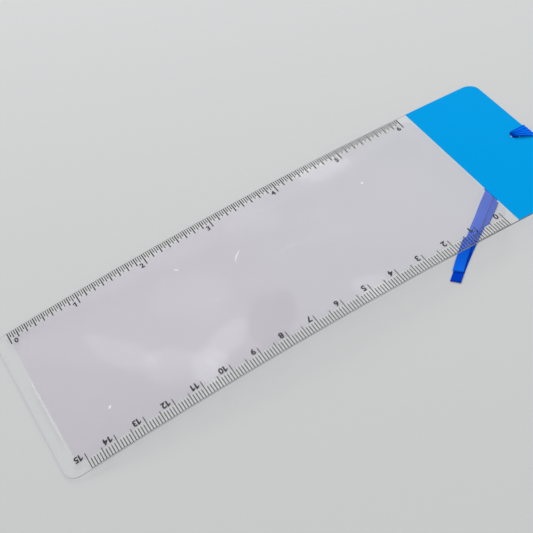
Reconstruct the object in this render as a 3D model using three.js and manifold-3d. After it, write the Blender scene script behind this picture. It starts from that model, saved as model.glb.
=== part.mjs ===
// A card magnifier lying on a table: a clear plastic card that bows up a little, a ribbed lens sheet
// in a shallow pocket, two printed rulers, a blue end panel, and a ribbon looped through a hole.
// Millimetres, +Z up. The origin is under the middle of the card, on the table.

import * as THREE from 'three';
import { mergeVertices } from 'three/addons/utils/BufferGeometryUtils.js';
import Module from 'manifold-3d';

const wasm = await Module();
wasm.setup();

// Card
const cardLength = 190;
const cardWidth = 65;
const cardThickness = 0.5;
const cornerRadius = 4.2;
const bowRise = 4;
const bendStrips = 10;
const cornerSteps = 6;

// Hole near the end of the card, a little off its centre line
const holeRadius = 1.75;
const holeInset = 5;
const holeSideStep = 1;
const holeSteps = 5;

// Blue end panel, a printed film on top of the card
const panelLength = 28.7;
const panelThickness = 0.05;

// Lens sheet, level with the top of the card
const lensThickness = 0.25;
const lensSideMargin = 4.2;
const lensEndMargin = 4.8;
const lensPanelGap = 0.4;
const lensCornerRadius = 3;
const ringPitch = 6;
const ringFacetShare = 0.43;
const ringDepth = 0.1;
const ringSteps = 48;

// Air left between sheets that are bonded face to face, and how far a cut runs past a face
const bondGap = 0.02;
const cutOverrun = 0.5;

// Printed rulers
const printThickness = 0.04;
const printInset = 0.1;
const tickWidth = 0.22;
const baseLineWidth = 0.2;
const centimetre = 10;
const centimetreTick = 6.1;
const halfCentimetreTick = 4.6;
const millimetreTick = 3.4;
const centimetreZeroInset = 3.3;
const inch = 25.4;
const inchTick = 5;
const eighthTick = 3.5;
const sixteenthTick = 2.8;
const finestTick = 2.1;
const inchZeroInset = 4.8;
const partsPerCentimetre = 10;
const partsPerInch = 32;

// Ribbon
const ribbonWidth = 3.2;
const ribbonThickness = 0.25;
const ribbonGap = 0.15;
const layersUnderPanel = 3;

// Loop of the ribbon: out of the hole, over the end of the card and back under it
const loopGatherWidth = 2.6;
const loopGatherSideStep = 0.4;
const loopUnderWidth = 3.6;
const loopLegGap = 0.6;
const loopStartBack = 1.2;
const loopEdgeSideStep = 0.4;
const loopUnderReach = 0.3;
const loopRunSteps = 5;
const loopTurnSteps = 8;
const loopCrown = 0.05;
const loopCrownShare = 0.5;
const loopValley = 0.08;

// Throat: the gathered ribbon that stands in the hole and turns there
const throatGap = 0.35;
const throatFolds = 5;
const throatFoldShare = 0.12;
const throatSteps = 40;

// Tails: each route runs from the throat to the tail's cut end, seen from above and measured from
// the middle of the hole
const tailRootGap = 0.35;
const shortTailRoute = [
  [-1.5, -0.9], [-4.8, -3], [-8.4, -5.3], [-12, -7.7], [-15.4, -9.9], [-18.8, -12.3],
  [-22.1, -14.6], [-25.4, -17], [-28.7, -19.4], [-32, -21.9], [-36, -24.9], [-40, -28],
  [-42.4, -29.9], [-44.8, -31.9], [-47.5, -34.2], [-50.1, -36.6],
];
const longTailRoute = [
  [-1.4, -1.1], [-4.8, -3.9], [-8.4, -6.7], [-12, -9.6], [-16, -12.8], [-20, -15.9],
  [-24, -18.9], [-26.7, -20.9], [-29.4, -22.8], [-32, -24.5], [-35.4, -26.8], [-38.7, -29],
  [-42.4, -31.6], [-46, -34.3], [-49.5, -37], [-52.8, -39.7],
];

// Places that follow from the sizes above
const endLift = layersUnderPanel * (ribbonThickness + ribbonGap);
const halfLength = cardLength / 2;
const halfWidth = cardWidth / 2;
const panelEdge = halfLength - panelLength;
const holeX = halfLength - holeInset;
const bendPitch = cardLength / bendStrips;
const bendLines = Array.from({ length: bendStrips - 1 }, (_, i) => (i + 1) * bendPitch - halfLength);
const throatReach = holeRadius - throatGap;

// Height of the card's underside at one bend line: a shallow arch on a slight slope
function archHeight(x) {
  const alongShare = (x + halfLength) / cardLength;
  return endLift * alongShare + 4 * bowRise * alongShare * (1 - alongShare);
}

// The arch is made of flat strips, so every sheet that follows it stays parallel to the others
function sheetHeight(x) {
  const strip = Math.min(Math.max(Math.floor((x + halfLength) / bendPitch), 0), bendStrips - 1);
  const stripStart = strip * bendPitch - halfLength;
  const acrossShare = (x - stripStart) / bendPitch;
  const startHeight = archHeight(stripStart);
  return startHeight + acrossShare * (archHeight(stripStart + bendPitch) - startHeight);
}

// Joins the corners that neighbouring faces share
function welded(geometry) {
  geometry.deleteAttribute('normal');
  geometry.deleteAttribute('uv');
  return mergeVertices(geometry);
}

function geometryFrom(points, faces) {
  const geometry = new THREE.BufferGeometry();
  geometry.setAttribute('position', new THREE.Float32BufferAttribute(points.flat(), 3));
  geometry.setIndex(faces.flat());
  geometry.computeVertexNormals();
  return geometry;
}

function toSolid(geometry) {
  const closed = welded(geometry);
  const mesh = new wasm.Mesh({
    numProp: 3,
    vertProperties: closed.attributes.position.array,
    triVerts: Uint32Array.from(closed.index.array),
  });
  return new wasm.Manifold(mesh);
}

function fromSolid(solid) {
  const mesh = solid.getMesh();
  const geometry = new THREE.BufferGeometry();
  geometry.setAttribute('position', new THREE.BufferAttribute(mesh.vertProperties, 3));
  geometry.setIndex(new THREE.BufferAttribute(mesh.triVerts, 1));
  return geometry;
}

// One strip of flat space between two bend lines, open past the ends of the card
function stripSpace(strip) {
  const left = strip === 0 ? -cardLength : bendLines[strip - 1];
  const right = strip === bendLines.length ? cardLength : bendLines[strip];
  const space = new THREE.BoxGeometry(right - left, 2 * cardWidth, 2 * cardWidth);
  return toSolid(space.translate((left + right) / 2, 0, 0));
}

// Lays a flat sheet on the arch: it is cut at the bend lines, each strip is lifted to its place, and
// the strips are joined again
function bowed(sheet) {
  let joined = null;
  for (let strip = 0; strip <= bendLines.length; strip += 1) {
    const flatStrip = sheet.intersect(stripSpace(strip));
    if (flatStrip.isEmpty()) continue;
    const geometry = fromSolid(flatStrip);
    const corners = geometry.attributes.position;
    for (let i = 0; i < corners.count; i += 1) {
      corners.setZ(i, corners.getZ(i) + sheetHeight(corners.getX(i)));
    }
    const lifted = toSolid(geometry);
    joined = joined ? joined.add(lifted) : lifted;
  }
  return fromSolid(joined);
}

// A flat sheet with the given outline, its underside at one height over the card's underside
function flatSheet(outline, underside, thickness) {
  const geometry = new THREE.ExtrudeGeometry(outline, {
    depth: thickness,
    bevelEnabled: false,
    curveSegments: cornerSteps,
  });
  return geometry.translate(0, 0, underside);
}

// A rectangle whose left and right corners may be rounded by different radii
function roundedOutline(left, right, bottom, top, leftRadius, rightRadius) {
  const corners = [
    [right - rightRadius, bottom + rightRadius, rightRadius],
    [right - rightRadius, top - rightRadius, rightRadius],
    [left + leftRadius, top - leftRadius, leftRadius],
    [left + leftRadius, bottom + leftRadius, leftRadius],
  ];
  const shape = new THREE.Shape();
  corners.forEach(([x, y, radius], i) => {
    const angle = ((i - 1) * Math.PI) / 2;
    const arcStart = [x + radius * Math.cos(angle), y + radius * Math.sin(angle)];
    if (i === 0) shape.moveTo(...arcStart);
    else shape.lineTo(...arcStart);
    if (radius > 0) shape.absarc(x, y, radius, angle, angle + Math.PI / 2);
  });
  return shape;
}

function punchHole(outline) {
  const edge = new THREE.EllipseCurve(holeX, holeSideStep, holeRadius, holeRadius);
  outline.holes.push(new THREE.Path(edge.getPoints(4 * holeSteps)));
  return outline;
}

// The clear card, with its corners, its hole and the pocket for the lens sheet
function clearCard() {
  const sides = [-halfLength, halfLength, -halfWidth, halfWidth];
  const outline = punchHole(roundedOutline(...sides, cornerRadius, cornerRadius));
  const blank = toSolid(flatSheet(outline, 0, cardThickness));
  const pocketDepth = lensThickness + bondGap;
  const cut = flatSheet(lensOutline(bondGap), cardThickness - pocketDepth, pocketDepth + cutOverrun);
  return bowed(blank.subtract(toSolid(cut)));
}

function lensOutline(grow) {
  return roundedOutline(
    -halfLength + lensEndMargin - grow,
    panelEdge - lensPanelGap + grow,
    -halfWidth + lensSideMargin - grow,
    halfWidth - lensSideMargin + grow,
    lensCornerRadius + grow,
    lensCornerRadius + grow,
  );
}

// The lens sheet: each ring falls outwards on a slope and ends in a step, as a flat lens does
function lensSheet() {
  const lensLength = panelEdge - lensPanelGap - (-halfLength + lensEndMargin);
  const lensWidth = cardWidth - 2 * lensSideMargin;
  const lensX = -halfLength + lensEndMargin + lensLength / 2;
  const outerReach = Math.hypot(lensLength, lensWidth) / 2;
  let solid = toSolid(flatSheet(lensOutline(0), cardThickness - lensThickness, lensThickness));
  for (let radius = ringPitch; radius < outerReach; radius += ringPitch) {
    const profile = [
      new THREE.Vector2(radius, -ringDepth),
      new THREE.Vector2(radius, ringDepth),
      new THREE.Vector2(radius - 2 * ringFacetShare * ringPitch, ringDepth),
      new THREE.Vector2(radius, -ringDepth),
    ];
    const ring = new THREE.LatheGeometry(profile, ringSteps);
    ring.rotateX(Math.PI / 2).translate(lensX, 0, cardThickness);
    solid = solid.subtract(toSolid(ring));
  }
  return bowed(solid);
}

function bluePanel() {
  const sides = [panelEdge, halfLength, -halfWidth, halfWidth];
  const outline = punchHole(roundedOutline(...sides, 0, cornerRadius));
  return bowed(toSolid(flatSheet(outline, cardThickness + bondGap, panelThickness)));
}

// Ruler ticks that stand on a thin base line, like the teeth of a comb
function rulerPrint(edgeY, inward, marks) {
  const half = tickWidth / 2;
  const baseY = edgeY + inward * baseLineWidth;
  const last = marks[marks.length - 1];
  const points = [new THREE.Vector2(marks[0].x - half, edgeY), new THREE.Vector2(last.x + half, edgeY)];
  for (let i = marks.length - 1; i >= 0; i -= 1) {
    const tipY = edgeY + inward * marks[i].length;
    points.push(new THREE.Vector2(marks[i].x + half, tipY));
    points.push(new THREE.Vector2(marks[i].x - half, tipY));
    if (i > 0) {
      points.push(new THREE.Vector2(marks[i].x - half, baseY));
      points.push(new THREE.Vector2(marks[i - 1].x + half, baseY));
    }
  }
  return bowed(toSolid(flatSheet(new THREE.Shape(points), cardThickness + bondGap, printThickness)));
}

// Centimetres run from the panel towards the far end of the card, along its near edge
function centimetreRuler() {
  const zeroX = panelEdge - centimetreZeroInset;
  const whole = Math.floor((zeroX + halfLength - cornerRadius + tickWidth) / centimetre);
  const marks = [];
  for (let i = whole * partsPerCentimetre; i >= 0; i -= 1) {
    let length = millimetreTick;
    if (i % (partsPerCentimetre / 2) === 0) length = halfCentimetreTick;
    if (i % partsPerCentimetre === 0) length = centimetreTick;
    marks.push({ x: zeroX - (i * centimetre) / partsPerCentimetre, length });
  }
  return rulerPrint(-halfWidth + printInset, 1, marks);
}

// Inches run the other way, along the far edge
function inchRuler() {
  const zeroX = -halfLength + inchZeroInset;
  const whole = Math.floor((panelEdge - zeroX - tickWidth) / inch);
  const marks = [];
  for (let i = 0; i <= whole * partsPerInch; i += 1) {
    let length = finestTick;
    if (i % (partsPerInch / 16) === 0) length = sixteenthTick;
    if (i % (partsPerInch / 8) === 0) length = eighthTick;
    if (i % partsPerInch === 0) length = inchTick;
    marks.push({ x: zeroX + (i * inch) / partsPerInch, length });
  }
  return rulerPrint(halfWidth - printInset, -1, marks);
}

// A closed solid through rings of points, with a flat cap on each end
function loft(rings, sectionOutline) {
  const count = sectionOutline.length;
  const faces = [];
  for (let i = 0; i + 1 < rings.length; i += 1) {
    for (let j = 0; j < count; j += 1) {
      const a = i * count + j;
      const b = i * count + ((j + 1) % count);
      faces.push([a, b, a + count], [b, b + count, a + count]);
    }
  }
  const capStart = (rings.length - 1) * count;
  for (const [a, b, c] of THREE.ShapeUtils.triangulateShape(sectionOutline, [])) {
    faces.push([a, c, b], [capStart + a, capStart + b, capStart + c]);
  }
  return geometryFrom(rings.flat(), faces);
}

// The loop: two legs of ribbon side by side, with a valley between them on the outside. Each station
// is a cross-section: its place, the direction of its outer side and how far it has opened out.
function ribbonLoop() {
  const middle = cardThickness / 2;
  const turnRadius = middle + ribbonGap + ribbonThickness / 2;
  const edgeWidth = 2 * ribbonWidth + loopLegGap;
  const stations = [];

  function addRun(hiddenEnd, angle, gatherWidth) {
    for (let i = 0; i < loopRunSteps; i += 1) {
      const openShare = i / loopRunSteps;
      const x = hiddenEnd + openShare * (halfLength - hiddenEnd);
      const z = sheetHeight(x) + middle + turnRadius * Math.sin(angle);
      stations.push({ x, z, angle, gatherWidth, openShare });
    }
  }

  addRun(holeX + holeRadius + loopUnderReach, -Math.PI / 2, loopUnderWidth);
  for (let i = 0; i <= loopTurnSteps; i += 1) {
    const angle = (i / loopTurnSteps - 1 / 2) * Math.PI;
    const x = halfLength + turnRadius * Math.cos(angle);
    const z = sheetHeight(halfLength) + middle + turnRadius * Math.sin(angle);
    stations.push({ x, z, angle, gatherWidth: edgeWidth, openShare: 1 });
  }
  const underStations = stations.length;
  addRun(holeX - loopStartBack, Math.PI / 2, loopGatherWidth);
  stations.push(...stations.splice(underStations).reverse());

  const outline = [
    [-1, -ribbonThickness / 2], [1, -ribbonThickness / 2], [1, ribbonThickness / 2],
    [loopCrownShare, ribbonThickness / 2 + loopCrown], [0, ribbonThickness / 2 - loopValley],
    [-loopCrownShare, ribbonThickness / 2 + loopCrown], [-1, ribbonThickness / 2],
  ];
  const rings = stations.map(({ x, z, angle, gatherWidth, openShare }) => {
    const half = (gatherWidth + openShare * (edgeWidth - gatherWidth)) / 2;
    const gatheredY = holeSideStep + loopGatherSideStep;
    const centreY = gatheredY - openShare * (gatheredY + loopEdgeSideStep);
    return outline.map(([acrossShare, out]) => [
      x + out * Math.cos(angle),
      centreY - acrossShare * half,
      z + out * Math.sin(angle),
    ]);
  });
  return loft(rings, outline.map(([acrossShare, out]) => new THREE.Vector2(acrossShare, out)));
}

// The throat: a column of folds from the table to the top of the card
function ribbonThroat() {
  const meanRadius = throatReach / (1 + throatFoldShare);
  const points = [];
  for (let i = 0; i < throatSteps; i += 1) {
    const angle = (i / throatSteps) * 2 * Math.PI;
    const radius = meanRadius * (1 + throatFoldShare * Math.cos(throatFolds * angle));
    points.push(new THREE.Vector2(radius * Math.cos(angle), radius * Math.sin(angle)));
  }
  const height = sheetHeight(holeX) + cardThickness;
  return flatSheet(new THREE.Shape(points), 0, height);
}

// A tail: the flat strip of ribbon on both sides of its route, from the throat outwards
function ribbonTail(route) {
  const hole = new THREE.Vector2(holeX, holeSideStep);
  const fromHole = route.map(([x, y]) => new THREE.Vector2(x, y));
  fromHole[0].setLength(throatReach + tailRootGap);
  const middle = fromHole.map((step) => step.add(hole));
  const left = [];
  const right = [];
  middle.forEach((point, i) => {
    const before = middle[Math.max(i - 1, 0)];
    const after = middle[Math.min(i + 1, middle.length - 1)];
    const ahead = after.clone().sub(before).normalize();
    const aside = new THREE.Vector2(-ahead.y, ahead.x).multiplyScalar(ribbonWidth / 2);
    left.push(point.clone().add(aside));
    right.unshift(point.clone().sub(aside));
  });
  return flatSheet(new THREE.Shape([...left, ...right]), 0, ribbonThickness);
}

const clearPlastic = { color: 0xe6e8ec, roughness: 0.08, metalness: 0, transparent: true, opacity: 0.35 };
const lensPlastic = { color: 0xd3d2da, roughness: 0.15, metalness: 0, transparent: true, opacity: 0.45 };
const blueInk = { color: 0x009be1, roughness: 0.25, metalness: 0 };
const blackInk = { color: 0x1c1c20, roughness: 0.5, metalness: 0 };
const blueSatin = { color: 0x0a4bd8, roughness: 0.45, metalness: 0 };

function piece(name, geometry, finish) {
  const mesh = new THREE.Mesh(geometry, new THREE.MeshStandardMaterial({ ...finish, flatShading: true }));
  mesh.name = name;
  return mesh;
}

const card = new THREE.Group();
card.add(piece('clear_card', clearCard(), clearPlastic));
card.add(piece('fresnel_lens', lensSheet(), lensPlastic));
card.add(piece('blue_panel', bluePanel(), blueInk));
card.add(piece('centimetre_ruler', centimetreRuler(), blackInk));
card.add(piece('inch_ruler', inchRuler(), blackInk));

const ribbon = new THREE.Group();
ribbon.add(piece('ribbon_loop', ribbonLoop(), blueSatin));
const throat = piece('ribbon_throat', ribbonThroat(), blueSatin);
throat.position.set(holeX, holeSideStep, 0);
ribbon.add(throat);
ribbon.add(piece('ribbon_long_tail', ribbonTail(longTailRoute), blueSatin));
const shortTail = piece('ribbon_short_tail', ribbonTail(shortTailRoute), blueSatin);
shortTail.position.z = ribbonThickness + ribbonGap;
ribbon.add(shortTail);

const magnifier = new THREE.Group();
magnifier.add(card, ribbon);

export default magnifier;
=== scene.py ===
import math

import bmesh
import bpy
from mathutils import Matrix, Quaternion, Vector


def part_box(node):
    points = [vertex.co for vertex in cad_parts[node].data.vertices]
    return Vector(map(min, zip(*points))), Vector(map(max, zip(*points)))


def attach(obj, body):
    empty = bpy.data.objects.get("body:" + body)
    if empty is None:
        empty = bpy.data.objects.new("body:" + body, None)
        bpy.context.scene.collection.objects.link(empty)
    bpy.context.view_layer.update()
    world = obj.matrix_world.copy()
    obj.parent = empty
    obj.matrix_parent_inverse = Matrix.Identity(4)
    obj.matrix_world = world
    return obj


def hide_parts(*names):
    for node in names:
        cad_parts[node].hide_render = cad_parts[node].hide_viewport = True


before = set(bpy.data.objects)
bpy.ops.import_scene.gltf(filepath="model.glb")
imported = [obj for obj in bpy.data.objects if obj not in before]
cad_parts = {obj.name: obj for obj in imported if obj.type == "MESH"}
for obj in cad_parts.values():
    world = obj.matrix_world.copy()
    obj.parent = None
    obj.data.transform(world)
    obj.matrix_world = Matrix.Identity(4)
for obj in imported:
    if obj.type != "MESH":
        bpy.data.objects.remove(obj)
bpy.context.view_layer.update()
mm = 0.001
upward = Vector((0, 0, 1))
acrossCard = Vector((0, 1, 0))

# Camera, at the photograph's place; its picture is square

view = {
    "place": (-0.08943, -0.24658, 0.28810),
    "turnDegrees": (41.529, 10.189, -29.443),
    "lensLength": 80.854,
    "sensorWidth": 36,
}


def placeCamera():
    lensData = bpy.data.cameras.new("photoCamera")
    lensData.lens = view["lensLength"]
    lensData.sensor_width = view["sensorWidth"]
    camera = bpy.data.objects.new("photoCamera", lensData)
    camera.location = view["place"]
    camera.rotation_euler = [math.radians(angle) for angle in view["turnDegrees"]]
    bpy.context.scene.collection.objects.link(camera)
    bpy.context.scene.camera = camera


placeCamera()
print("camera placed")

# The card: its length and width come from the frame

cardLow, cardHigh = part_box("clear_card")
card = {
    "halfLength": (cardHigh.x - cardLow.x) / 2,
    "halfWidth": (cardHigh.y - cardLow.y) / 2,
    "thickness": 0.5 * mm,
    "cornerRadius": 4.2 * mm,
    "endLift": 1.2 * mm,  # how far the panel end stands off the table
    "bowRise": 4 * mm,
    "holeX": 90 * mm,
    "holeY": 1 * mm,
    "holeRadius": 1.75 * mm,
    "holeSteps": 40,
    "cornerSteps": 14,
    "barStep": 2.5 * mm,  # one straight stretch of the bow
    "rim": 0.06 * mm,  # rounding of its cut edge
}


# Heights of the card's underside and top, as surfaces over x and y
def archHeight(x, y=0):
    share = (x + card["halfLength"]) / (2 * card["halfLength"])
    return card["endLift"] * share + 4 * card["bowRise"] * share * (1 - share)


def cardTop(x, y=0):
    return archHeight(x) + card["thickness"]


def smoothShare(share):
    share = min(max(share, 0), 1)
    return share * share * (3 - 2 * share)


# Mesh helpers

meshing = {
    "slopeStep": 0.05 * mm,
    "flatFace": 0.8,  # faces whose normal is at least this upright take the surface's own normals
    "edgeFace": 0.97,  # faces whose normal is less upright belong to the cut edge
    "rimAngle": 1,  # edges sharper than this are rounded
    "rimDrop": 0.2 * mm,  # unless they climb more than this
    "rimSegments": 2,
    "sharpAngle": 0.5,
    "cutTolerance": 1e-8,
}


def addPiece(name, mesh, materials, body, nodes):
    piece = bpy.data.objects.new(name, mesh)
    bpy.context.scene.collection.objects.link(piece)
    for material in materials:
        mesh.materials.append(material)
    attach(piece, body)
    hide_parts(*nodes)
    return piece


def meshFrom(bm, name):
    bmesh.ops.recalc_face_normals(bm, faces=bm.faces[:])
    for face in bm.faces:
        face.smooth = True
    mesh = bpy.data.meshes.new(name)
    bm.to_mesh(mesh)
    bm.free()
    return mesh


def addSharpPiece(bm, name, material, node):
    mesh = meshFrom(bm, name)
    mesh.set_sharp_from_angle(angle=meshing["sharpAngle"])
    addPiece(name, mesh, [material], "card", [node])


def roundedOutline(left, right, halfWidth, leftRadius, rightRadius, steps):
    corners = [
        (right - rightRadius, rightRadius - halfWidth, rightRadius),
        (right - rightRadius, halfWidth - rightRadius, rightRadius),
        (left + leftRadius, halfWidth - leftRadius, leftRadius),
        (left + leftRadius, leftRadius - halfWidth, leftRadius),
    ]
    points = []
    for i, (x, y, radius) in enumerate(corners):
        for k in range(steps + 1 if radius > 0 else 1):
            angle = (i - 1 + k / steps) * math.pi / 2
            points.append((x + radius * math.cos(angle), y + radius * math.sin(angle)))
    return points


def holeOutline():
    turns = [2 * math.pi * k / card["holeSteps"] for k in range(card["holeSteps"])]
    radius = card["holeRadius"]
    return [(card["holeX"] + radius * math.cos(a), card["holeY"] + radius * math.sin(a)) for a in turns]


def addLoop(bm, points):
    corners = [bm.verts.new((x, y, 0)) for x, y in points]
    return corners, [bm.edges.new((corners[i - 1], corners[i])) for i in range(len(corners))]


def cutIntoBars(bm, left, right):
    x = left + card["barStep"]
    while x < right - card["barStep"] / 4:
        bmesh.ops.bisect_plane(
            bm, geom=bm.verts[:] + bm.edges[:] + bm.faces[:], dist=meshing["cutTolerance"],
            plane_co=(x, 0, 0), plane_no=(1, 0, 0),
        )
        x += card["barStep"]


def slopeNormal(heightAt, x, y, facesUp):
    step = meshing["slopeStep"]
    slopeX = (heightAt(x + step, y) - heightAt(x - step, y)) / (2 * step)
    slopeY = (heightAt(x, y + step) - heightAt(x, y - step)) / (2 * step)
    normal = Vector((-slopeX, -slopeY, 1)).normalized()
    return normal if facesUp else -normal


# Smooth sheets get the true normals of their surfaces, so that long thin faces shade evenly
def setSheetNormals(mesh, topAt, bottomAt):
    mesh.calc_loop_triangles()
    normals = [Vector(corner.vector) for corner in mesh.corner_normals]
    for face in mesh.polygons:
        if abs(face.normal.z) < meshing["flatFace"]:
            continue
        facesUp = face.normal.z > 0
        for corner in face.loop_indices:
            x, y, z = mesh.vertices[mesh.loops[corner].vertex_index].co
            normals[corner] = slopeNormal(topAt if facesUp else bottomAt, x, y, facesUp)
    mesh.normals_split_custom_set(normals)


# Extrudes every face and gives back the raised corners
def raiseFaces(bm):
    raised = bmesh.ops.extrude_face_region(bm, geom=bm.faces[:])["geom"]
    return {item for item in raised if isinstance(item, bmesh.types.BMVert)}


def isRim(edge):
    if not edge.is_manifold or edge.calc_face_angle() <= meshing["rimAngle"]:
        return False
    return abs(edge.verts[0].co.z - edge.verts[1].co.z) < meshing["rimDrop"]


# Turns a flat filled outline into a sheet between two curved surfaces, with its cut edge rounded
def thickenSheet(bm, name, topAt, bottomAt, rim):
    top = raiseFaces(bm)
    for corner in bm.verts:
        x, y = corner.co.x, corner.co.y
        corner.co.z = topAt(x, y) if corner in top else bottomAt(x, y)
    bmesh.ops.recalc_face_normals(bm, faces=bm.faces[:])
    if rim > 0:
        bmesh.ops.bevel(
            bm, geom=[edge for edge in bm.edges if isRim(edge)], offset=rim, segments=meshing["rimSegments"],
            profile=0.5, affect="EDGES", clamp_overlap=True,
        )
    for face in bm.faces:
        if abs(face.normal.z) < meshing["edgeFace"]:
            face.material_index = 1
    mesh = meshFrom(bm, name)
    setSheetNormals(mesh, topAt, bottomAt)
    return mesh


# Material helpers


def newMaterial(name):
    material = bpy.data.materials.new(name)
    material.use_nodes = True
    tree = material.node_tree
    return material, tree, tree.nodes["Principled BSDF"]


def addNode(tree, kind, inputs=None, **settings):
    node = tree.nodes.new(kind)
    for key, value in settings.items():
        setattr(node, key, value)
    for key, value in (inputs or {}).items():
        if isinstance(value, bpy.types.NodeSocket):
            tree.links.new(value, node.inputs[key])
        else:
            node.inputs[key].default_value = value
    return node


def objectPlace(tree):
    return addNode(tree, "ShaderNodeTexCoord").outputs["Object"]


def addNoise(tree, scale, detail):
    place = objectPlace(tree)
    return addNode(tree, "ShaderNodeTexNoise", {"Vector": place, "Scale": scale, "Detail": detail}).outputs[0]


# A value from 0 to 1 spread between two others
def spread(tree, value, low, high):
    return addNode(tree, "ShaderNodeMapRange", {"Value": value, "To Min": low, "To Max": high}).outputs[0]


# How far a value has come from one end to the other, from 0 to 1
def shareOf(tree, value, low, high):
    return addNode(tree, "ShaderNodeMapRange", {"Value": value, "From Min": low, "From Max": high}).outputs[0]


def addBump(tree, height, distance, strength):
    return addNode(
        tree, "ShaderNodeBump", {"Height": height, "Distance": distance, "Strength": strength},
    ).outputs["Normal"]


def addMath(tree, operation, first, second):
    return addNode(tree, "ShaderNodeMath", {0: first, 1: second}, operation=operation).outputs[0]


def addVectorMath(tree, operation, first, second):
    return addNode(tree, "ShaderNodeVectorMath", {0: first, 1: second}, operation=operation).outputs


def mixColours(tree, share, first, second):
    return addNode(tree, "ShaderNodeMix", {0: share, 6: first, 7: second}, data_type="RGBA").outputs[2]


def mixShaders(tree, share, first, second):
    return addNode(tree, "ShaderNodeMixShader", {0: share, 1: first, 2: second}).outputs[0]


def clearShader(tree, colour):
    return addNode(tree, "ShaderNodeBsdfTransparent", {"Color": colour}).outputs[0]


def shadeColour(tree, shader, colour, shade):
    shaded = addNode(tree, "ShaderNodeVectorMath", {0: colour, "Scale": shade}, operation="SCALE")
    tree.links.new(shaded.outputs[0], shader.inputs["Base Color"])


# Lamps and the light from the table's surroundings pass a clear sheet with a small loss
def passLight(tree, shader, through):
    clear = clearShader(tree, through)
    path = addNode(tree, "ShaderNodeLightPath").outputs
    forShadow = mixShaders(tree, path["Is Shadow Ray"], shader, clear)
    forDiffuse = mixShaders(tree, path["Is Diffuse Ray"], forShadow, clear)
    tree.links.new(forDiffuse, tree.nodes["Material Output"].inputs["Surface"])


# A finish whose colour varies between its shades, with a fine relief where it has one.
# mottle and grain hold the scale and the detail of a noise, and relief its height and strength.
def mottledFinish(name, finish):
    material, tree, shader = newMaterial(name)
    mottle = addNoise(tree, *finish["mottle"])
    shadeColour(tree, shader, finish["colour"], spread(tree, mottle, *finish["shades"]))
    shader.inputs["Roughness"].default_value = finish["roughness"]
    shader.inputs["Specular IOR Level"].default_value = finish["specular"]
    if "relief" in finish:
        grain = addNoise(tree, *finish["grain"])
        tree.links.new(addBump(tree, grain, *finish["relief"]), shader.inputs["Normal"])
    return material, tree, shader


# Ribbon

ribbon = {
    "width": 3.4 * mm,
    "thickness": 0.16 * mm,
    "columns": 12,
    "exit": (90 * mm, 1 * mm, 0.3 * mm),
    "rootReach": 1.3 * mm,  # from the middle of the hole to the start of a tail
    "gather": 0.72,  # share of its width at the root
    "gatherLength": 9 * mm,
    "rootPleats": 3,
    "waveSkew": 0.8,  # how far its waves run askew
    "rowStep": 0.6 * mm,
    "routeSteps": 8,  # steps of the smooth line between two points of a route
    "routeSlack": 1e-9,
}
shortTail = {
    "name": "ribbonShortTail",
    "body": "ribbon",
    "node": "ribbon_short_tail",
    "seed": 0.4,
    "height": 0.42 * mm,
    "ripple": 0.06 * mm,
    "wave": 13 * mm,
    "length": 62 * mm,
    "aside": 0.3 * mm,  # how far it lies beside its route
    "route": [
        (-1.5, -0.9), (-4.8, -3), (-8.4, -5.3), (-12, -7.7), (-15.4, -9.9), (-18.8, -12.3), (-22.1, -14.6),
        (-25.4, -17), (-28.7, -19.4), (-32, -21.9), (-36, -24.9), (-40, -28), (-42.4, -29.9), (-44.8, -31.9),
        (-47.5, -34.2), (-50.1, -36.6),
    ],
}
longTail = {
    "name": "ribbonLongTail",
    "body": "long_tail",
    "node": "ribbon_long_tail",
    "seed": 2.1,
    "height": 0.14 * mm,
    "ripple": 0.03 * mm,
    "wave": 17 * mm,
    "length": 66 * mm,
    "aside": -0.12 * mm,
    "route": [
        (-1.4, -1.1), (-4.8, -3.9), (-8.4, -6.7), (-12, -9.6), (-16, -12.8), (-20, -15.9), (-24, -18.9),
        (-26.7, -20.9), (-29.4, -22.8), (-32, -24.5), (-35.4, -26.8), (-38.7, -29), (-42.4, -31.6),
        (-46, -34.3), (-49.5, -37), (-52.8, -39.7),
    ],
}
columnShares = [2 * k / ribbon["columns"] - 1 for k in range(ribbon["columns"] + 1)]

# near and far are its colours by the hole and further out, and turn says where they change, in mm.
# The darker of the two is painted shade: the short tail's under the card, the long tail's beyond the card,
# and the loop's at its tips, where it dips into the hole.
# Waves have a scale, a distortion, a detail and the scale of the detail.
satin = {
    "roughness": 0.42,
    "specular": 0.02,
    "specularTint": (0, 0.2, 0.8, 1),
    "sheen": 0.03,
    "sheenRoughness": 0.4,
    "sheenTint": (0, 0.4, 1, 1),
    "threads": (1.6, 0.4, 1, 4),
    "floats": (1.1, 1.5, 2, 2),
    # painted shade in the loop's creases: bands across the ribbon, and their darkest and lightest share
    "creases": (0.22, 1.5, 1, 1),
    "paintedCreaseShade": (0.5, 1.1),
    "clouds": (160, 3),
    "cloudShades": (0.9, 1.1),
    "relief": (0.006 * mm, 0.5),
    "shortTail": {"near": (0.002, 0.09, 0.62, 1), "far": (0.006, 0.15, 0.86, 1), "turn": (50, 59)},
    "longTail": {"near": (0.0, 0.08, 0.6, 1), "far": (0.0, 0.048, 0.55, 1), "turn": (46, 53)},
    "loop": {"near": (0.0, 0.05, 0.58, 1), "far": (0.0, 0.165, 1, 1), "turn": (0.2, 1.8)},
}


def addWave(tree, place, direction, scale, distortion, detail, detailScale):
    return addNode(
        tree, "ShaderNodeTexWave",
        {"Vector": place, "Scale": scale, "Distortion": distortion,
         "Detail": detail, "Detail Scale": detailScale},
        wave_type="BANDS", bands_direction=direction,
    ).outputs["Fac"]


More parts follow.
